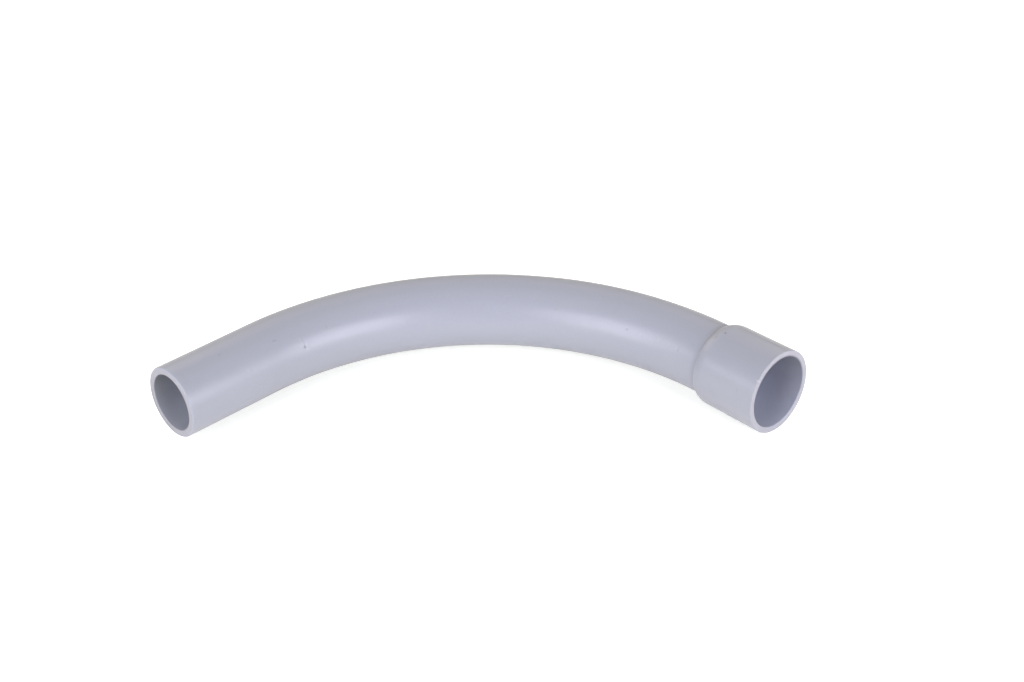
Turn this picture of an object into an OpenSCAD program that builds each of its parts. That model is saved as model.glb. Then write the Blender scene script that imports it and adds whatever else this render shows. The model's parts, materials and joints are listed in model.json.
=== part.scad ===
// Ninety-degree conduit sweep elbow: a bent tube with a plain spigot at one end and, at the
// other, a bonded coupling with a rounded rear shoulder and an open socket.
// The origin is the centre of the socket's mouth. The socket opens along +X, the spigot points
// along -Y, and the bend lies flat in the XY plane.

/* [Conduit] */
// Outside diameter of the conduit
conduit_od = 33.4; // [30:0.1:33.4]
// Wall thickness of the conduit
conduit_wall = 3.38; // [2.5:0.01:4]

/* [Bend] */
// Radius of the bend, measured to the centreline of the conduit
bend_radius = 146; // [100:1:250]
// Angle that the conduit turns through, in degrees
bend_angle = 90; // [30:5:90]
// Straight length of the spigot, from the end of the bend to its mouth
spigot_length = 48; // [38:0.5:120]
// Rounding radius of the spigot's outer edge
spigot_edge_r = 0.8; // [0.2:0.1:1.5]

/* [Coupling] */
// Outside diameter of the coupling
coupling_od = 39.2; // [38:0.1:44]
// Length of the coupling, from its rear lip to its mouth
coupling_length = 34.5; // [34:0.5:60]
// Diameter of the open socket
socket_bore_d = 33.6; // [33.5:0.02:33.8]
// Depth of the open socket, from its mouth to the stop ridge
socket_depth = 23; // [18:0.5:25]
// Width of the stop ridge between the two bores
stop_width = 1.5; // [1:0.1:2.5]
// Radius of the round that forms the rear shoulder
shoulder_r = 9; // [7:0.1:12]
// Wall left at the rear lip, where the shoulder ends at the rear bore
lip_wall = 0.3; // [0.2:0.05:1]

/* [Cement] */
// Thickness of the cement film around the seated end of the tube
film = 0.12; // [0.05:0.01:0.15]
// Width of the cement bead along the tube, behind the rear lip
bead_width = 0.4; // [0.2:0.05:0.6]

/* [Hidden] */
$fn = 96;

conduit_r = conduit_od / 2;
wireway_r = conduit_r - conduit_wall;
coupling_r = coupling_od / 2;
socket_r = socket_bore_d / 2;
rear_bore_r = conduit_r + film;

// Distances back from the mouth, along the socket's axis
rear_lip_x = -coupling_length;
seated_length = coupling_length - socket_depth - stop_width;

// The rear lip, where the shoulder's round meets the coupling's rear plane
lip_r = rear_bore_r + lip_wall;
shoulder_drop = coupling_r - lip_r;
shoulder_length = sqrt(pow(shoulder_r, 2) - pow(shoulder_r - shoulder_drop, 2));

// How far a cutting shape runs past the face that it opens
over = 1;

pvc_grey = [0.73, 0.74, 0.80];
coupling_grey = [0.71, 0.72, 0.77];
cement_grey = [0.62, 0.61, 0.60];

// Places children, which point along +Z, on the socket's axis so that they point along +X
module along_socket(x) {
    translate([x, 0, 0])
    rotate([0, 90, 0])
    children();
}

// Places children, which point along +Z, at the spigot end of the bend, pointing out of it
module at_spigot() {
    translate([rear_lip_x, -bend_radius, 0])
    rotate([0, 0, bend_angle])
    translate([0, bend_radius, 0])
    rotate([0, -90, 0])
    children();
}

// The ring sector that follows the bend's centreline
module arc_rod(r) {
    translate([rear_lip_x, -bend_radius, 0])
    rotate([0, 0, 90])
    rotate_extrude(angle = bend_angle, $fn = 180)
    translate([bend_radius, 0])
    circle(r = r);
}

// A rod with a rounded rim at its far end
module eased_rod(r, length, edge) {
    rotate_extrude()
    union() {
        square([r - edge, length]);
        square([r, length - edge]);
        intersection() {
            translate([r - edge, length - edge])
            circle(r = edge);
            square([r, length]);
        }
    }
}

module bend_tube() {
    color(pvc_grey)
    difference() {
        union() {
            arc_rod(conduit_r);
            along_socket(rear_lip_x)
            cylinder(r = conduit_r, h = seated_length);
            at_spigot()
            eased_rod(conduit_r, spigot_length, spigot_edge_r);
        }
        arc_rod(wireway_r);
        along_socket(rear_lip_x)
        cylinder(r = wireway_r, h = seated_length + over);
        at_spigot()
        cylinder(r = wireway_r, h = spigot_length + over);
    }
}

// Half section of the coupling's outside, with its axis up and its rear plane at zero
module coupling_outline() {
    intersection() {
        union() {
            translate([coupling_r - shoulder_r, shoulder_length])
            circle(r = shoulder_r);
            translate([0, shoulder_length])
            square([coupling_r, coupling_length - shoulder_length]);
            square([coupling_r - shoulder_r, shoulder_length]);
        }
        square([coupling_r, coupling_length]);
    }
}

module socket_coupling() {
    color(coupling_grey)
    along_socket(rear_lip_x)
    difference() {
        rotate_extrude()
        coupling_outline();
        translate([0, 0, -over])
        cylinder(r = rear_bore_r, h = seated_length + over);
        translate([0, 0, -over])
        cylinder(r = wireway_r, h = coupling_length + 2 * over);
        translate([0, 0, seated_length + stop_width])
        cylinder(r = socket_r, h = socket_depth + over);
    }
}

module cement_film() {
    color(cement_grey)
    along_socket(rear_lip_x)
    difference() {
        rotate_extrude()
        polygon([
            [0, 0],
            [conduit_r, -bead_width],
            [lip_r, 0],
            [rear_bore_r, 0],
            [rear_bore_r, seated_length],
            [0, seated_length]
        ]);
        translate([0, 0, -over])
        cylinder(r = conduit_r, h = seated_length + 2 * over);
    }
}

bend_tube();
socket_coupling();
cement_film();
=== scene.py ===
"""Looks of a rigid PVC conduit sweep elbow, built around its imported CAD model.

Everything is in metres, in the part's own frame: the origin is the centre of the socket's mouth,
the socket opens along +X, the spigot points along -Y, and the bend lies in the XY plane.
"""

import json
import math

import bpy
from mathutils import Matrix, Vector, noise


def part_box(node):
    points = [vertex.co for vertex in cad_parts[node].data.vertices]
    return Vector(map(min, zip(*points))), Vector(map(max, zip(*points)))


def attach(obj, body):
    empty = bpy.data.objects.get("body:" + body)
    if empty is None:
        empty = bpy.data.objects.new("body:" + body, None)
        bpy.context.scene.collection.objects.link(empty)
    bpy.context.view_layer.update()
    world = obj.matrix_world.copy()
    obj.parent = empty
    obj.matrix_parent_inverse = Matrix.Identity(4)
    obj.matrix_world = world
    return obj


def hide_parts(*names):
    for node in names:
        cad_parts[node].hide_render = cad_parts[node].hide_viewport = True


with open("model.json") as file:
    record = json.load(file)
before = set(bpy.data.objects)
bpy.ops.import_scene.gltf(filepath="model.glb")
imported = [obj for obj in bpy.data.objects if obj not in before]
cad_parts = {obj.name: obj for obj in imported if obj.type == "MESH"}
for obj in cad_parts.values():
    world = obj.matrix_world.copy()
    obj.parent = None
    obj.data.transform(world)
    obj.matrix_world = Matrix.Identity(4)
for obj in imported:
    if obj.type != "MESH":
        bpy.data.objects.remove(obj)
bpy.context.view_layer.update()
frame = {"record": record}

MM = 0.001

# ---------------------------------------------------------------- sizes, from the frame
mounts = {m["name"]: m for m in frame["record"]["mounts"]}
coupling_low, coupling_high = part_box("socket_coupling")
tube_low, tube_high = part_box("bend_tube")

conduit_r = mounts["spigot"]["dims"]["r_mm"] * MM
wireway_r = mounts["wireway"]["dims"]["r_mm"] * MM
socket_r = mounts["socket"]["dims"]["r_mm"] * MM
socket_depth = mounts["socket"]["dims"]["length_mm"] * MM
spigot_length = mounts["wireway"]["dims"]["length_mm"] * MM
coupling_r = coupling_high.z
rear_x = coupling_low.x
seated_length = tube_high.x - rear_x
spigot_x = tube_low.x + conduit_r
spigot_mouth_y = tube_low.y
bend_radius = rear_x - spigot_x
bend_length = bend_radius * math.pi / 2
tube_length = spigot_length + bend_length + seated_length
stop_width = coupling_high.x - rear_x - seated_length - socket_depth

# The cement film, the wall of the rear lip, and the length of the rounded rear shoulder
film = 0.12 * MM
lip_wall = 0.3 * MM
rear_bore_r = conduit_r + film
lip_r = rear_bore_r + lip_wall
shoulder_length = 6.2 * MM

# Small roundings of the edges
spigot_edge_r = 0.8 * MM
spigot_inner_edge_r = 0.4 * MM
inner_edge_r = 0.3 * MM
mouth_edge_r = 0.25 * MM

# How far out of square the two ends were sawn: the slope towards a section's outer side, the
# slope towards its top, and how far the middle of the cut stands proud. The skin follows the
# cut over a short reach behind the end.
SPIGOT_CUT = (-0.019, -0.009, 0.25 * MM)
MOUTH_CUT = (0.018, -0.046, 0.27 * MM)
CUT_REACH = 10 * MM

# How much slimmer the coupling's outside is at its shoulder than at its mouth, as a radius, and
# the round of the shoulder, which ends at the rear lip
coupling_draft = 0.24 * MM
shoulder_drop = coupling_r - coupling_draft - lip_r
shoulder_r = (shoulder_length**2 + shoulder_drop**2) / (2 * shoulder_drop)

# The fillet of wiped cement in the crease: where it ends short of the rear lip, its length along
# the conduit, and its height
crease_width = 0.22 * MM
fillet_length = 3.6 * MM
fillet_height = 0.26 * MM

# ---------------------------------------------------------------- rings, marks and spots
# Angles run round a section from the outer side of the bend (0) over the top (90 degrees).
# The vertices of a ring are closest together on the band that carries the small marks.
BAND = (math.radians(84), math.radians(172))
BAND_STEPS = 100
REST_STEPS = 92

# Material slots of the conduit and of the coupling
SKIN, CUT, BORE = 0, 1, 2

# Small marks in the conduit's outside: (station from the spigot's mouth in mm, degrees round,
# width along in mm, width round in mm, depth in mm, or a negative depth for a bump)
CONDUIT_MARKS = [
    (63.8, 153.5, 0.55, 0.60, 0.26),
    (64.2, 147.5, 0.40, 1.50, 0.03),
    (65.6, 155.0, 0.50, 1.20, -0.05),
    (63.4, 147.5, 0.45, 1.20, -0.09),
    (32.0, 149.0, 0.50, 0.60, 0.08),
    (23.6, 107.0, 0.50, 0.50, 0.06),
    (49.8, 126.0, 1.10, 0.35, 0.10),
    (78.9, 137.0, 0.60, 0.90, 0.12),
    (119.2, 159.0, 1.20, 0.50, 0.06),
    (134.6, 153.0, 0.80, 0.60, -0.05),
    (149.2, 94.0, 0.40, 0.40, 0.06),
    (196.5, 140.0, 0.40, 0.40, 0.10),
    (199.8, 93.0, 1.10, 0.80, -0.07),
    (202.0, 151.0, 0.90, 0.60, -0.06),
    (210.1, 154.0, 0.60, 0.70, 0.09),
    (216.3, 149.0, 0.70, 0.70, -0.07),
    (221.3, 161.0, 0.60, 0.60, -0.05),
    (235.4, 149.0, 0.50, 0.50, 0.13),
    (244.1, 167.0, 0.60, 0.50, 0.05),
    (248.9, 154.0, 0.60, 0.60, -0.08),
    (252.9, 155.0, 0.50, 0.50, 0.10),
    (264.6, 152.0, 0.60, 0.80, 0.09),
    (265.7, 151.0, 0.50, 0.80, -0.08),
]
# The same for the coupling's outside, with the place along the axis measured from its mouth
COUPLING_MARKS = [
    (-13.5, 155.0, 0.60, 0.50, 0.05),
    (-8.6, 163.0, 0.50, 0.60, 0.06),
    (-0.7, 140.0, 0.45, 0.30, -0.06),
]
# What a spot multiplies the skin's colour by. The pit's factor is painted shade in its hollow. The
# pit rim's factor and the pale factor are painted highlights. The dark factor darkens dots and, as
# painted shade, the shaded sides of small bumps and pits. The faint speck's factor is also used as
# painted shade beside one small bump. The other specks and the nick are the skin's own colour
PIT_PAINTED_SHADE = (0.70, 0.68, 0.67)
DARK_SPECK = (0.82, 0.81, 0.81)
FAINT_SPECK_AND_PAINTED_SHADE = (0.90, 0.89, 0.88)
DARK = (0.94, 0.935, 0.93)
PAINTED_HIGHLIGHT = (1.07, 1.065, 1.06)
PIT_RIM_PAINTED_HIGHLIGHT = (1.11, 1.10, 1.09)
FRESH_NICK = (1.35, 1.33, 1.30)
FLECK_PITCH = (0.8, 2.0)    # from a fleck's painted highlight to its painted shade: mm along, degrees round
# Tiny raised flecks on the conduit, each painted as a highlight with painted shade beside it:
# (station in mm, degrees round)
PAINTED_BUMP_LIGHT_AND_SHADE = [
    (32.0, 149.0),
    (243.3, 150.0),
    (248.9, 153.5),
    (253.6, 149.0),
    (259.6, 149.0),
    (264.2, 151.5),
]
# Spots where the skin's colour is multiplied, by specks and by painted highlights and painted shade
# on small pits and bumps: (station or place in mm, degrees round, width along in mm, width round in
# mm, what the colour is multiplied by)
CONDUIT_SPOTS = [
    (23.6, 107.0, 0.40, 0.40, FAINT_SPECK_AND_PAINTED_SHADE),
    (49.8, 126.0, 1.20, 0.30, FAINT_SPECK_AND_PAINTED_SHADE),
    # Round the pit: a painted highlight beside it, painted shade along the crease by it and in its
    # hollow, and painted highlights on its rim
    (61.6, 149.5, 0.45, 0.50, PAINTED_HIGHLIGHT),
    (63.6, 141.0, 0.40, 0.80, DARK),
    (63.7, 154.0, 0.55, 0.50, PIT_PAINTED_SHADE),
    (65.0, 149.5, 0.50, 0.60, PIT_RIM_PAINTED_HIGHLIGHT),
    (65.0, 159.0, 0.50, 0.50, PIT_RIM_PAINTED_HIGHLIGHT),
    # A small bump: painted shade on one side and a painted highlight on the other
    (78.3, 136.0, 0.45, 0.55, FAINT_SPECK_AND_PAINTED_SHADE),
    (79.2, 138.5, 0.45, 0.60, PAINTED_HIGHLIGHT),
    (149.2, 94.0, 0.40, 0.45, FAINT_SPECK_AND_PAINTED_SHADE),
    (196.5, 140.0, 0.40, 0.40, DARK),
    # A painted highlight beside a dark speck in a small pit
    (234.6, 145.5, 0.40, 0.45, PAINTED_HIGHLIGHT),
    (235.4, 149.0, 0.45, 0.45, DARK_SPECK),
    (251.6, 156.5, 0.40, 0.40, DARK),
]
# Each raised fleck gets a painted highlight and, beside it, painted shade
for station, degrees in PAINTED_BUMP_LIGHT_AND_SHADE:
    CONDUIT_SPOTS += [
        (station, degrees, 0.40, 0.38, PAINTED_HIGHLIGHT),
        (station + FLECK_PITCH[0], degrees + FLECK_PITCH[1], 0.36, 0.36, DARK),
    ]
# Painted shade darkens the outer part of the spigot's sawn end on its lower outer side
SPIGOT_FACE_PAINTED_SHADE = [(0.0, 315.0, 3.0, 12.0, (0.86, 0.865, 0.87))]
# On the coupling: a dark fleck, tan smears of cement by the rear lip, a faint speck and a nick
COUPLING_SPOTS = [
    (-28.7, 100.0, 0.36, 0.36, (0.48, 0.43, 0.43)),
    (-30.9, 112.0, 0.50, 0.90, (0.88, 0.84, 0.78)),
    (-33.4, 108.0, 1.20, 7.50, (1.01, 0.98, 0.92)),
    (-8.6, 163.0, 0.40, 0.45, FAINT_SPECK_AND_PAINTED_SHADE),
    (-0.4, 140.0, 0.45, 0.28, FRESH_NICK),
]
# How much painted light makes the bottom of a bore paler, and painted shade its top darker, than
# its middle, and how much paler painted light makes a bore a short way in than at its mouth, which
# painted shade makes darker
PAINTED_LIGHT_LOW = 0.27
PAINTED_LIGHT_DEEP = 0.36
PAINTED_LIGHT_REACH = 25 * MM
MARK_REACH = 2.6        # how many widths from its middle a mark or spot still shows
SPOT_FULLNESS = 1.5     # above 1, a spot has a flat middle
FINE_REACH = 1.8        # how many widths from its middle the rings are close together
COARSE_STEP = 2.2 * MM  # spacing of the rings along the skin
FINE_STEP = 0.25 * MM   # the same near a mark or spot
EDGE_STEPS = 5          # rings round a small rounded edge
FACE_STEPS = 4          # rings across a sawn face

# Slow unevenness of the heated and bent conduit's skin
WAVE_HEIGHT = 0.035 * MM
WAVE_SIZE = 16 * MM
WAVE_FADE = 15 * MM     # the length over which it dies away towards each end
# Where the section is out of round: (station mm, reach mm, degrees round, height mm)
OUT_OF_ROUND = [
    (20.0, 62.0, 51.0, -0.34),
    (215.0, 38.0, 56.0, 0.24),
]

# ---------------------------------------------------------------- mesh building


def ring_angles():
    """Angles of a ring's vertices, all the way round from the start of the band."""
    rest = math.tau - (BAND[1] - BAND[0])
    angles = [BAND[0] + (BAND[1] - BAND[0]) * i / BAND_STEPS for i in range(BAND_STEPS)]
    return angles + [BAND[1] + rest * i / REST_STEPS for i in range(REST_STEPS)]


ANGLES = ring_angles()


def arc_points(centre, radius, start, end, steps):
    """Points (along, radius) on an arc in the half-section, between two angles in degrees."""
    points = []
    for i in range(steps + 1):
        a = math.radians(start + (end - start) * i / steps)
        points.append((centre[0] + radius * math.cos(a), centre[1] + radius * math.sin(a)))
    return points


def ring_mesh(name, rings, strip_slots, materials, tube_map, tones=None):
    """A closed skin through rings of equal length: the last ring joins the first one again.

    tube_map holds a (round, along) pair in metres for each ring's vertices, kept as a UV map.
    The map's first direction starts at the first angle of the rings. tones holds the colour
    factors of each ring's vertices, kept as a colour attribute.
    """
    count = len(ANGLES)
    share = [(a - ANGLES[0]) / math.tau for a in ANGLES] + [1.0]
    vertices = [v for ring in rings for v in ring]
    faces, slots, corners = [], [], []
    for i in range(len(rings)):
        j = (i + 1) % len(rings)
        around, along, next_along = tube_map[i][0], tube_map[i][1], tube_map[j][1]
        for k in range(count):
            m = (k + 1) % count
            faces.append((i * count + k, i * count + m, j * count + m, j * count + k))
            slots.append(strip_slots[i])
            corners += [
                (share[k] * around, along),
                (share[k + 1] * around, along),
                (share[k + 1] * around, next_along),
                (share[k] * around, next_along),
            ]
    mesh = bpy.data.meshes.new(name)
    mesh.from_pydata(vertices, [], faces)
    mesh.polygons.foreach_set("material_index", slots)
    mesh.polygons.foreach_set("use_smooth", [True] * len(faces))
    layer = mesh.uv_layers.new(name="TubeMap")
    layer.data.foreach_set("uv", [x for corner in corners for x in corner])
    if tones:
        tone_layer = mesh.color_attributes.new(name="tone", type="FLOAT_COLOR", domain="POINT")
        colours = [(*tone, 1) for ring in tones for tone in ring]
        tone_layer.data.foreach_set("color", [x for colour in colours for x in colour])
    for material in materials:
        mesh.materials.append(material)
    mesh.update()
    piece = bpy.data.objects.new(name, mesh)
    bpy.context.scene.collection.objects.link(piece)
    return piece


def cut_offset(cut, across, up, behind):
    """How far the sawn end moves a place that lies this far behind it."""
    share = max(0.0, 1 - behind / CUT_REACH)
    return (cut[0] * across + cut[1] * up + cut[2]) * share


def strength(detail, place, angle, radius):
    """How strongly a mark or spot shows at this place: 1 at its middle, and 0 out of its reach."""
    at, degrees, along, around = detail[:4]
    ds = (place - at * MM) / (along * MM)
    if abs(ds) > MARK_REACH:
        return 0.0
    da = math.remainder(angle - math.radians(degrees), math.tau) * radius / (around * MM)
    if abs(da) > MARK_REACH:
        return 0.0
    return math.exp(-ds * ds - da * da)


def mark_depth(marks, place, angle, radius):
    """How far the marks push the skin in at this place."""
    return sum(mark[4] * MM * strength(mark, place, angle, radius) for mark in marks)


def skin_tone(spots, place, angle, radius):
    """What the skin's colour is multiplied by at this place."""
    tone = (1.0, 1.0, 1.0)
    for spot in spots:
        weight = min(1.0, SPOT_FULLNESS * strength(spot, place, angle, radius))
        tone = tuple(t * (1 + (c - 1) * weight) for t, c in zip(tone, spot[4]))
    return tone


def bore_painted_light(depth, angle):
    """What a bore's colour is multiplied by: painted light makes it paler low down and further in,
    and painted shade darker at the top and by the mouth.
    """
    inside = min(depth, PAINTED_LIGHT_REACH) / PAINTED_LIGHT_REACH - 0.5
    tone = 1 - PAINTED_LIGHT_LOW * math.sin(angle) + PAINTED_LIGHT_DEEP * inside
    return (tone, tone, tone)


def ring_tones(spots, place, radius, slot):
    """What the colour is multiplied by at each vertex of a ring."""
    if slot == BORE:
        return [bore_painted_light(abs(place), angle) for angle in ANGLES]
    return [skin_tone(spots, place, angle, radius) for angle in ANGLES]


def skin_places(details, start, end):
    """Places along a skin from start to end, closer together near each mark or spot."""
    places = [start]
    while places[-1] < end:
        # How far it still is to the nearest detail's surroundings, which is below 0 inside them
        gaps = [abs(places[-1] - d[0] * MM) - FINE_REACH * d[2] * MM for d in details]
        ahead = [d[0] * MM > places[-1] for d in details]
        gap = min([g for g, is_ahead in zip(gaps, ahead) if is_ahead or g < 0] + [COARSE_STEP])
        places.append(places[-1] + max(FINE_STEP, gap))
    places[-1] = end
    return places


# ---------------------------------------------------------------- the conduit


def conduit_line(station):
    """Centre, direction and outward side of the conduit at a distance from the spigot's mouth."""
    if station < spigot_length:
        centre = Vector((spigot_x, spigot_mouth_y + station, 0))
        return centre, Vector((0, 1, 0)), Vector((-1, 0, 0))
    if station > spigot_length + bend_length:
        centre = Vector((rear_x + station - spigot_length - bend_length, 0, 0))
        return centre, Vector((1, 0, 0)), Vector((0, 1, 0))
    turn = (station - spigot_length) / bend_radius
    side = Vector((-math.cos(turn), math.sin(turn), 0))
    centre = Vector((rear_x, -bend_radius, 0)) + side * bend_radius
    return centre, Vector((math.sin(turn), math.cos(turn), 0)), side


def wave(station, angle):
    """Slow unevenness of the skin, which dies away halfway down the spigot and at the socket."""
    inside = min(station - 0.5 * spigot_length, tube_length - seated_length - station)
    fade = max(0.0, min(1.0, inside / WAVE_FADE))
    spot = Vector((conduit_r * math.cos(angle), conduit_r * math.sin(angle), station)) / WAVE_SIZE
    return WAVE_HEIGHT * fade * noise.noise(spot)


def out_of_round(station, angle):
    """How much the bent section stands out from a true circle, or in where it is negative."""
    height = 0.0
    for at, reach, degrees, high in OUT_OF_ROUND:
        facing = max(0.0, math.cos(angle - math.radians(degrees)))
        height += high * MM * facing**2 * math.exp(-(((station / MM - at) / reach) ** 2))
    return height


def conduit_ring(station, radius, skin=False):
    """One ring of vertices round the conduit's line."""
    centre, along, side = conduit_line(station)
    ring = []
    for angle in ANGLES:
        r = radius + out_of_round(station, angle)
        if skin:
            r += wave(station, angle) - mark_depth(CONDUIT_MARKS, station, angle, radius)
        across, up = r * math.cos(angle), r * math.sin(angle)
        point = centre + side * across - along * cut_offset(SPIGOT_CUT, across, up, station)
        point.z += up
        ring.append(point)
    return ring


def build_conduit(skin, cut, bore):
    """The bent conduit as one closed skin: outside, seated end, wireway and sawn mouth."""
    profile = []      # (station, radius, slot of the strip that follows, spots)
    edge_centre = (spigot_edge_r, conduit_r - spigot_edge_r)
    outer_edge_steps = 8
    for s, r in arc_points(edge_centre, spigot_edge_r, 180, 90, outer_edge_steps):
        profile.append((s, r, SKIN, SPIGOT_FACE_PAINTED_SHADE))
    end = tube_length
    details = CONDUIT_MARKS + CONDUIT_SPOTS
    for s in skin_places(details, 2 * spigot_edge_r, end - inner_edge_r):
        profile.append((s, conduit_r, SKIN, CONDUIT_SPOTS))
    profile.append((end, conduit_r - inner_edge_r, SKIN, []))
    profile.append((end, wireway_r + inner_edge_r, BORE, []))
    edge = spigot_inner_edge_r
    bore_start = end - inner_edge_r
    bore_length = bore_start - 1.5 * edge
    bore_steps = 64
    for i in range(bore_steps + 1):
        profile.append((bore_start - bore_length * i / bore_steps, wireway_r, BORE, []))
    for s, r in arc_points((edge, wireway_r + edge), edge, -90, -180, EDGE_STEPS):
        profile.append((s, r, CUT, []))
    inner, outer = wireway_r + edge, conduit_r - spigot_edge_r
    for i in range(1, FACE_STEPS):
        r = inner + (outer - inner) * i / FACE_STEPS
        profile.append((0.0, r, CUT, SPIGOT_FACE_PAINTED_SHADE))
    # The open skin, with its waves and marks, is where the conduit's own spots are
    rings = [conduit_ring(s, r, spots is CONDUIT_SPOTS) for s, r, _, spots in profile]
    slots = [slot for _, _, slot, _ in profile]
    tube_map = [(math.tau * r, s) for s, r, _, _ in profile]
    tones = [ring_tones(spots, s, r, slot) for s, r, slot, spots in profile]
    return ring_mesh("conduit", rings, slots, [skin, cut, bore], tube_map, tones)


# ---------------------------------------------------------------- the coupling


def drafted_r(x):
    """Radius of the coupling's slightly tapered outside."""
    share = min(1.0, max(0.0, -x / (-rear_x - shoulder_length)))
    return coupling_r - coupling_draft * share


def coupling_ring(x, radius, skin=False):
    """One ring of vertices round the socket's axis."""
    ring = []
    for angle in ANGLES:
        r = radius
        if skin:
            r -= mark_depth(COUPLING_MARKS, x, angle, radius)
        y, z = r * math.cos(angle), r * math.sin(angle)
        ring.append(Vector((x + cut_offset(MOUTH_CUT, y, z, -x), y, z)))
    return ring


def build_coupling(skin, cut, bore):
    """The coupling as one closed skin: rear lip, shoulder, outside, mouth, socket and stop."""
    profile = []      # (x, radius, slot of the strip that follows, on the marked skin)
    centre = (rear_x + shoulder_length, coupling_r - coupling_draft - shoulder_r)
    lip_angle = 180 - math.degrees(math.acos(shoulder_length / shoulder_r))
    lip_trim = 1.0          # degrees of the shoulder's round that the lip's own rounding takes
    shoulder_steps = 30
    for x, r in arc_points(centre, shoulder_r, lip_angle - lip_trim, 90, shoulder_steps):
        profile.append((x, r, SKIN, False))
    details = COUPLING_MARKS + COUPLING_SPOTS
    skin_start = centre[0] + 0.5 * MM
    for x in skin_places(details, skin_start, -2 * mouth_edge_r):
        profile.append((x, drafted_r(x), SKIN, True))
    edge_centre = (-mouth_edge_r, coupling_r - mouth_edge_r)
    edge = arc_points(edge_centre, mouth_edge_r, 90, 0, EDGE_STEPS)
    for x, r in edge[:-1]:
        profile.append((x, r, SKIN, False))
    profile.append((*edge[-1], CUT, False))
    inner, outer = socket_r + inner_edge_r, coupling_r - mouth_edge_r
    for i in range(1, FACE_STEPS):
        profile.append((0.0, outer + (inner - outer) * i / FACE_STEPS, CUT, False))
    for x, r in arc_points((-inner_edge_r, inner), inner_edge_r, 0, -90, EDGE_STEPS):
        profile.append((x, r, BORE, False))
    bore_start = -2 * inner_edge_r
    stop_x = -socket_depth
    socket_steps = 24
    for i in range(socket_steps):
        x = bore_start + (stop_x - bore_start) * i / (socket_steps - 1)
        profile.append((x, socket_r, BORE, False))
    seat_x = stop_x - stop_width
    ease = 0.2 * MM
    profile.append((stop_x, wireway_r + ease, BORE, False))
    profile.append((stop_x - ease, wireway_r, BORE, False))
    profile.append((seat_x + ease, wireway_r, BORE, False))
    profile.append((seat_x, wireway_r + ease, BORE, False))
    profile.append((seat_x, rear_bore_r, BORE, False))
    profile.append((rear_x + ease, rear_bore_r, SKIN, False))
    profile.append((rear_x, rear_bore_r + 0.5 * ease, SKIN, False))
    profile.append((rear_x, lip_r - 0.5 * ease, SKIN, False))
    rings = [coupling_ring(x, r, on_skin) for x, r, _, on_skin in profile]
    slots = [slot for _, _, slot, _ in profile]
    tube_map = [(math.tau * r, x) for x, r, _, _ in profile]
    tones = [ring_tones(COUPLING_SPOTS, x, r, slot) for x, r, slot, _ in profile]
    return ring_mesh("socket_piece", rings, slots, [skin, cut, bore], tube_map, tones)


# ---------------------------------------------------------------- the cement


def cement_swell(angle):
    """How much thicker the wiped cement is at this angle, as a factor."""
    rate = 2.5          # how quickly the thickness changes round the conduit
    spot = Vector((rate * math.cos(angle), rate * math.sin(angle), 5.0))
    uneven = noise.noise(spot) + 0.4 * noise.noise(spot * 5)
    return 1 + 0.35 * uneven


def build_cement(material):
    """The film in the joint and the wiped fillet of cement in the crease behind the rear lip."""
    seat_x = rear_x + seated_length
    clear = 0.01 * MM           # how far the film's faces stay off the PVC
    fillet_sink = 0.02 * MM     # how deep under the conduit's skin the fillet's thin end starts
    under_lip = 0.05 * MM       # how far under the rear lip the fillet's crest ends
    fillet_steps = 14
    profile = [(seat_x, conduit_r + clear, False)]      # (x, radius, uneven)
    for i in range(fillet_steps + 1):
        share = i / fillet_steps
        x = rear_x - crease_width - fillet_length * (1 - share)
        profile.append((x, conduit_r - fillet_sink + fillet_height * share**2, True))
    profile.append((rear_x + under_lip, conduit_r + fillet_height, False))
    profile.append((rear_x + 2 * under_lip, rear_bore_r, False))
    profile.append((seat_x, rear_bore_r - clear, False))
    rings = []
    for x, r, uneven in profile:
        ring = []
        for angle in ANGLES:
            swell = cement_swell(angle) if uneven else 1.0
            ring_r = conduit_r + (r - conduit_r) * swell
            ring.append(Vector((x, ring_r * math.cos(angle), ring_r * math.sin(angle))))
        rings.append(ring)
    tube_map = [(math.tau * r, x) for x, r, _ in profile]
    return ring_mesh("cement", rings, [SKIN] * len(profile), [material], tube_map)


# ---------------------------------------------------------------- materials


class Nodes:
    """A short way to write a material's node tree."""

    def __init__(self, name):
        self.material = bpy.data.materials.new(name)
        self.material.use_nodes = True
        self.tree = self.material.node_tree
        self.shader = self.tree.nodes["Principled BSDF"]

    def feed(self, socket, value):
        """Gives a socket its value, which may be another node's output."""
        if isinstance(value, bpy.types.NodeSocket):
            self.tree.links.new(value, socket)
        else:
            socket.default_value = value

    def add(self, kind, inputs=None, **settings):
        """A new node with these inputs and settings."""
        node = self.tree.nodes.new(kind)
        for key, value in settings.items():
            setattr(node, key, value)
        for key, value in (inputs or {}).items():
            self.feed(node.inputs[key], value)
        return node

    def set(self, socket, value):
        """Gives one of the shader's sockets its value."""
        self.feed(self.shader.inputs[socket], value)


def opaque(colour, factor=1.0):
    """A colour times a factor, with full alpha."""
    return (*[c * factor for c in colour], 1)


def texture_noise(nodes, vector, scale, detail=3.0):
    """Noise from 0 to 1."""
    inputs = {"Vector": vector, "Scale": scale, "Detail": detail, "Roughness": 0.55}
    return nodes.add("ShaderNodeTexNoise", inputs).outputs["Fac"]


def stretched_noise(nodes, vector, scale, detail):
    """Noise from 0 to 1 with a scale of its own in each direction."""
    stretched = nodes.add("ShaderNodeMapping", {"Vector": vector, "Scale": scale})
    inputs = {"Vector": stretched.outputs["Vector"], "Scale": 1.0, "Detail": detail}
    return nodes.add("ShaderNodeTexNoise", inputs).outputs["Fac"]


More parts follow.
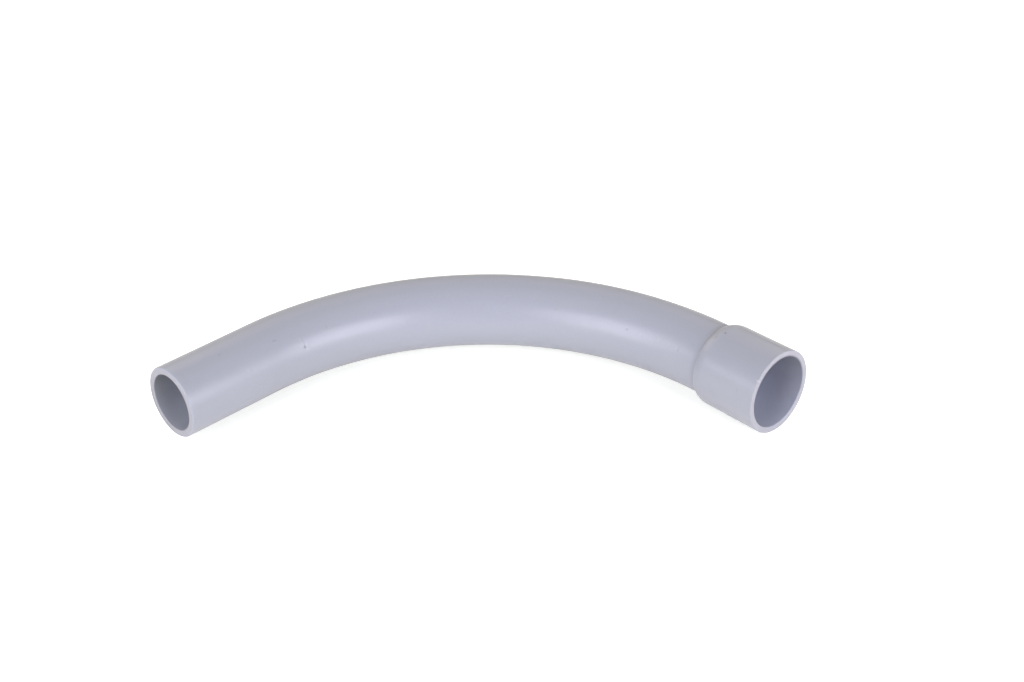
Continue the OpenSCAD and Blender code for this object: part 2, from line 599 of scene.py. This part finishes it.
def ramp(nodes, value, low, high, to_low=0.0, to_high=1.0):
    """A value moved from one range to another, and kept inside it."""
    inputs = {
        "Value": value,
        "From Min": low,
        "From Max": high,
        "To Min": to_low,
        "To Max": to_high,
    }
    return nodes.add("ShaderNodeMapRange", inputs).outputs["Result"]


def mix(nodes, factor, first, second, blend="MIX"):
    """Two colours mixed. The node's colour sockets share their names, so they go by number."""
    node = nodes.add("ShaderNodeMix", data_type="RGBA", blend_type=blend)
    for index, value in ((0, factor), (6, first), (7, second)):
        nodes.feed(node.inputs[index], value)
    return node.outputs[2]


def times(nodes, first, second):
    """Two values multiplied."""
    return nodes.add("ShaderNodeMath", {0: first, 1: second}, operation="MULTIPLY").outputs[0]


def bump(nodes, height, strength, distance, normal=None):
    """A normal that a height tilts, on top of another normal where one is given."""
    inputs = {"Height": height, "Strength": strength, "Distance": distance}
    if normal:
        inputs["Normal"] = normal
    return nodes.add("ShaderNodeBump", inputs).outputs["Normal"]


def set_toned_colour(nodes, shade):
    """Gives the shader a shade, multiplied by the tones that the mesh carries."""
    tone = nodes.add("ShaderNodeVertexColor", layer_name="tone").outputs["Color"]
    nodes.set("Base Color", mix(nodes, 1.0, shade, tone, "MULTIPLY"))


# Tiny flecks scattered over the PVC: cells per metre, and how far from a cell's middle its
# fleck is full and where it ends, in cells
FLECK_CELLS = 200.0
FLECK_RANGE = (0.03, 0.11)
FLECK_AMOUNT = 0.7
# Each kind of fleck: (a cell's chance number where there is none, the number where it is full,
# what the colour is multiplied by)
FLECK_KINDS = [(0.42, 0.30, 1.09), (0.58, 0.70, 0.88)]


def scattered_flecks(nodes, place, shade, colour):
    """The shade with tiny pale and dark flecks scattered over it."""
    cells = nodes.add("ShaderNodeTexVoronoi", {"Vector": place, "Scale": FLECK_CELLS})
    close = ramp(nodes, cells.outputs["Distance"], *FLECK_RANGE, FLECK_AMOUNT, 0)
    split = nodes.add("ShaderNodeSeparateColor", {"Color": cells.outputs["Color"]})
    for never, always, factor in FLECK_KINDS:
        kind = ramp(nodes, split.outputs["Red"], never, always)
        shade = mix(nodes, times(nodes, close, kind), shade, opaque(colour, factor))
    return shade


def pvc(name, colour, roughness, streak=1.0, ior=1.5):
    """Satin rigid PVC: faint mottling, specks and flecks, fine orange peel, and die lines."""
    nodes = Nodes(name)
    place = nodes.add("ShaderNodeTexCoord").outputs["Object"]
    tube = nodes.add("ShaderNodeUVMap", uv_map="TubeMap").outputs["UV"]
    # Colour: slow clouds of a warmer shade, fine darker specks, and scattered flecks
    warmer = (colour[0], colour[1] * 0.985, colour[2] * 0.95, 1)
    cloud = ramp(nodes, texture_noise(nodes, place, 22.0), 0.35, 0.65)
    speck = ramp(nodes, texture_noise(nodes, place, 900.0, 2.0), 0.3, 0.7)
    shade = mix(nodes, ramp(nodes, cloud, 0, 1, 0, 0.35), opaque(colour), warmer)
    shade = mix(nodes, ramp(nodes, speck, 0, 1, 0, 0.58), shade, opaque(colour, 0.95))
    set_toned_colour(nodes, scattered_flecks(nodes, place, shade, colour))
    # Gloss that varies a little from place to place
    grain = texture_noise(nodes, place, 120.0, 4.0)
    nodes.set("Roughness", ramp(nodes, grain, 0.3, 0.7, roughness - 0.03, roughness + 0.04))
    # Relief: a slow swell, orange peel, and die lines, which are noise stretched along the conduit
    lines = stretched_noise(nodes, tube, (1400.0, 9.0, 1.0), 2.0)
    peel = texture_noise(nodes, place, 650.0, 2.0)
    swell = texture_noise(nodes, place, 60.0, 2.0)
    coarse = bump(nodes, swell, 0.14, 0.4 * MM)
    fine = bump(nodes, peel, 0.30, 0.05 * MM, coarse)
    nodes.set("Normal", bump(nodes, lines, 0.08 * streak, 0.03 * MM, fine))
    nodes.set("IOR", ior)
    return nodes.material


def sawn_pvc(name, colour):
    """A sawn end face: lighter, duller, with fine straight saw marks."""
    nodes = Nodes(name)
    place = nodes.add("ShaderNodeTexCoord").outputs["Object"]
    marks = stretched_noise(nodes, place, (60.0, 60.0, 2600.0), 3.0)
    marked = ramp(nodes, marks, 0.35, 0.7, 0, 0.6)
    set_toned_colour(nodes, mix(nodes, marked, opaque(colour), opaque(colour, 0.93)))
    nodes.set("Roughness", ramp(nodes, marks, 0.3, 0.7, 0.55, 0.68))
    nodes.set("Normal", bump(nodes, marks, 0.25, 0.05 * MM))
    nodes.set("IOR", 1.5)
    return nodes.material


def cement_with_painted_crease_shade(name, colour, crease_shade):
    """Wiped solvent cement in the conduit's own colour, darkened by painted shade towards the
    crease at the rear lip, with a patchy darker line of painted shade at the lip.
    """
    nodes = Nodes(name)
    place = nodes.add("ShaderNodeTexCoord").outputs["Object"]
    tube = nodes.add("ShaderNodeUVMap", uv_map="TubeMap").outputs["UV"]
    along = nodes.add("ShaderNodeSeparateXYZ", {"Vector": tube}).outputs["Y"]
    cloud = ramp(nodes, texture_noise(nodes, place, 160.0, 4.0), 0.35, 0.65)
    lip_start = rear_x - crease_width
    crease_shade_width = 0.48 * MM
    # Painted shade: the fillet grows darker towards the crease
    shade_toward_lip = ramp(nodes, along, rear_x - fillet_length, lip_start)
    shade = mix(nodes, shade_toward_lip, opaque(colour), opaque(colour, 0.88))
    # Painted shade in the crease: a patchy darker line just before the lip
    shade_at_lip = ramp(nodes, along, lip_start - crease_shade_width, lip_start, 0, 0.6)
    patchy_shade = times(nodes, shade_at_lip, cloud)
    nodes.set("Base Color", mix(nodes, patchy_shade, shade, opaque(crease_shade)))
    nodes.set("Roughness", ramp(nodes, cloud, 0, 1, 0.35, 0.5))
    nodes.set("Normal", bump(nodes, cloud, 0.3, 0.1 * MM))
    return nodes.material


# ---------------------------------------------------------------- camera, light and floor

AIM = Vector((-111.0, -54.5, 0.0)) * MM
VIEW_AZIMUTH = 45.2
VIEW_ELEVATION = 33.2
VIEW_ROLL = 0.1
VIEW_DISTANCE = 758 * MM
LENS = 58.0


def direction(azimuth, elevation):
    """Unit vector from the object towards a place seen at this azimuth and elevation."""
    a, e = math.radians(azimuth), math.radians(elevation)
    return Vector((math.sin(a) * math.cos(e), -math.cos(a) * math.cos(e), math.sin(e)))


def add_camera():
    """The camera, a little above the object and in front of both mouths."""
    data = bpy.data.cameras.new("camera")
    data.lens = LENS
    data.sensor_width = 36.0
    data.clip_start, data.clip_end = 0.01, 50.0
    camera = bpy.data.objects.new("camera", data)
    bpy.context.scene.collection.objects.link(camera)
    back = direction(VIEW_AZIMUTH, VIEW_ELEVATION)
    turn = (-back).to_track_quat("-Z", "Y").to_matrix()
    roll = Matrix.Rotation(math.radians(VIEW_ROLL), 3, "Z")
    camera.matrix_world = Matrix.Translation(AIM + back * VIEW_DISTANCE) @ (turn @ roll).to_4x4()
    bpy.context.scene.camera = camera


LIGHT_DISTANCE = 1.5
KEY_TINT = (1.04, 1.0, 1.13)
SOFT_TINT = (1.07, 1.0, 0.985)
BACK_TINT = (1.08, 1.0, 0.92)
WORLD_STRENGTH = 0.218
# Soft boxes: (name, azimuth, elevation, width m, height m, watts, colour)
SOFT_BOXES = [
    ("left_key", 1.5, 22, 1.0, 1.1, 16.6, KEY_TINT),
    ("right_key", 92.5, 19.5, 1.0, 0.95, 16.4, KEY_TINT),
    ("left_wing", 322, 18, 0.9, 0.25, 1.9, KEY_TINT),
    ("right_wing", 127, 13, 0.9, 0.25, 1.5, KEY_TINT),
    ("back_left", 180, 32, 1.2, 1.2, 6.2, BACK_TINT),
    ("back_middle", 225, 32, 1.2, 1.2, 2.8, BACK_TINT),
    ("back_right", 270, 32, 1.2, 1.2, 5.8, BACK_TINT),
    ("overhead", 0, 90, 1.2, 1.2, 1.8, SOFT_TINT),
]


def add_lights():
    """The soft boxes, aimed at the object, and the world's own even light."""
    for name, azimuth, elevation, width, height, watts, colour in SOFT_BOXES:
        data = bpy.data.lights.new(name, "AREA")
        data.shape = "RECTANGLE"
        data.size, data.size_y = width, height
        data.energy = watts
        data.color = colour
        lamp = bpy.data.objects.new(name, data)
        bpy.context.scene.collection.objects.link(lamp)
        back = direction(azimuth, elevation)
        lamp.location = AIM + back * LIGHT_DISTANCE
        lamp.rotation_euler = (-back).to_track_quat("-Z", "Y").to_euler()
    world = bpy.data.worlds.new("studio")
    world.use_nodes = True
    sky = world.node_tree.nodes["Background"]
    sky.inputs["Color"].default_value = opaque(SOFT_TINT)
    sky.inputs["Strength"].default_value = WORLD_STRENGTH
    bpy.context.scene.world = world
    bpy.context.scene.view_settings.view_transform = "Standard"


# The seen floor's paper, the lower sheet that throws light back, and the wall: colour, tint of
# the glow, glow, and the glow far away
SEEN_PAPER = ((0.91, 0.93, 0.90), (1.04, 1.065, 0.985), 0.43, 0.98)
BOUNCE_PAPER = ((0.93, 0.92, 0.845), (1.07, 1.0, 0.92), 0.14)
WALL_PAPER = ((0.5, 0.5, 0.5), (1.0, 1.0, 1.0), 0.98)
FAR_RANGE = (0.6, 1.5)      # from the origin, where the glow changes to the one far away
FLOOR_HALF = 6.0
BOUNCE_DROP = 1.0 * MM
BACKDROP_DROP = 2.0 * MM
BACKDROP_R = 2.6
BACKDROP_HEIGHT = 2.4
BACKDROP_SIDES = 96


def studio_paper(name, colour, glow_tint, glow, far_glow=None):
    """Plain matt paper, which also glows a little, as a lit light table does.

    far_glow is its glow away from the object, where the lamps' light falls off.
    """
    nodes = Nodes(name)
    nodes.set("Base Color", opaque(colour))
    nodes.set("Roughness", 0.9)
    nodes.set("Specular IOR Level", 0.0)
    nodes.set("Emission Color", opaque(glow_tint))
    if far_glow:
        place = nodes.add("ShaderNodeTexCoord").outputs["Object"]
        away = nodes.add("ShaderNodeVectorMath", {0: place}, operation="LENGTH")
        glow = ramp(nodes, away.outputs["Value"], *FAR_RANGE, glow, far_glow)
    nodes.set("Emission Strength", glow)
    return nodes.material


def add_stage_mesh(name, vertices, faces, paper):
    """A sheet of the studio, which isn't part of the object."""
    mesh = bpy.data.meshes.new(name)
    mesh.from_pydata(vertices, [], faces)
    mesh.materials.append(studio_paper(name, *paper))
    sheet = bpy.data.objects.new(name, mesh)
    bpy.context.scene.collection.objects.link(sheet)
    return sheet


def only_seen(sheet):
    """Leaves a sheet in view, but lets all other light pass through it."""
    sheet.visible_diffuse = False
    sheet.visible_glossy = False
    sheet.visible_transmission = False
    sheet.visible_shadow = False


def floor_sheet(name, drop, paper):
    """A square sheet this far below the coupling's lowest side, on which the object rests."""
    z = coupling_low.z - drop
    signs = ((-1, -1), (1, -1), (1, 1), (-1, 1))
    corners = [(x * FLOOR_HALF, y * FLOOR_HALF, z) for x, y in signs]
    return add_stage_mesh(name, corners, [(0, 1, 2, 3)], paper)


def add_floor():
    """A pale floor in two sheets: the upper one is seen, and the lower one throws light back."""
    only_seen(floor_sheet("floor", 0.0, SEEN_PAPER))
    floor_sheet("floor_bounce", BOUNCE_DROP, BOUNCE_PAPER).visible_camera = False


def add_backdrop():
    """A round pale wall behind the floor, for views that look along it."""
    turns = [360 * i / BACKDROP_SIDES for i in range(BACKDROP_SIDES)]
    ring = [direction(turn, 0) * BACKDROP_R + AIM for turn in turns]
    low = [(p.x, p.y, coupling_low.z - BACKDROP_DROP) for p in ring]
    high = [(p.x, p.y, BACKDROP_HEIGHT) for p in ring]
    faces = []
    for i in range(BACKDROP_SIDES):
        j = (i + 1) % BACKDROP_SIDES
        faces.append((i, j, j + BACKDROP_SIDES, i + BACKDROP_SIDES))
    only_seen(add_stage_mesh("backdrop", low + high, faces, WALL_PAPER))


# ---------------------------------------------------------------- the scene

add_camera()
add_lights()
add_floor()
add_backdrop()

PVC = (0.328, 0.356, 0.405)
COUPLING = (0.321, 0.349, 0.397)
# The bores are paler and bluer than the outsides: painted light, standing in for the light that
# bounces about inside them
WIREWAY_PAINTED_LIGHT = (0.350, 0.377, 0.428)
SOCKET_PAINTED_LIGHT = (0.364, 0.391, 0.472)
SAWN_CONDUIT = (0.337, 0.353, 0.380)
SAWN_COUPLING = (0.372, 0.388, 0.425)
# Colour of the painted shade in the crease behind the coupling's rear lip
CREASE_PAINTED_SHADE = (0.262, 0.255, 0.262)

tube_skin = pvc("conduit_pvc", PVC, 0.32)
tube_cut = sawn_pvc("sawn_conduit", SAWN_CONDUIT)
tube_bore = pvc("wireway_pvc_painted_light", WIREWAY_PAINTED_LIGHT, 0.42)
coupling_skin = pvc("coupling_pvc", COUPLING, 0.32, streak=0.4, ior=1.6)
coupling_cut = sawn_pvc("sawn_coupling", SAWN_COUPLING)
coupling_bore = pvc("socket_pvc_painted_light", SOCKET_PAINTED_LIGHT, 0.46, streak=0.4)
cement = cement_with_painted_crease_shade("cement_with_painted_crease_shade", PVC, CREASE_PAINTED_SHADE)

PIECES = [
    (build_conduit(tube_skin, tube_cut, tube_bore), "bend_tube", "conduit_pvc"),
    (build_coupling(coupling_skin, coupling_cut, coupling_bore), "socket_coupling", "coupling_pvc"),
    (build_cement(cement), "cement_film", "cement"),
]
for piece, node, slot in PIECES:
    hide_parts(node)
    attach(piece, "root")
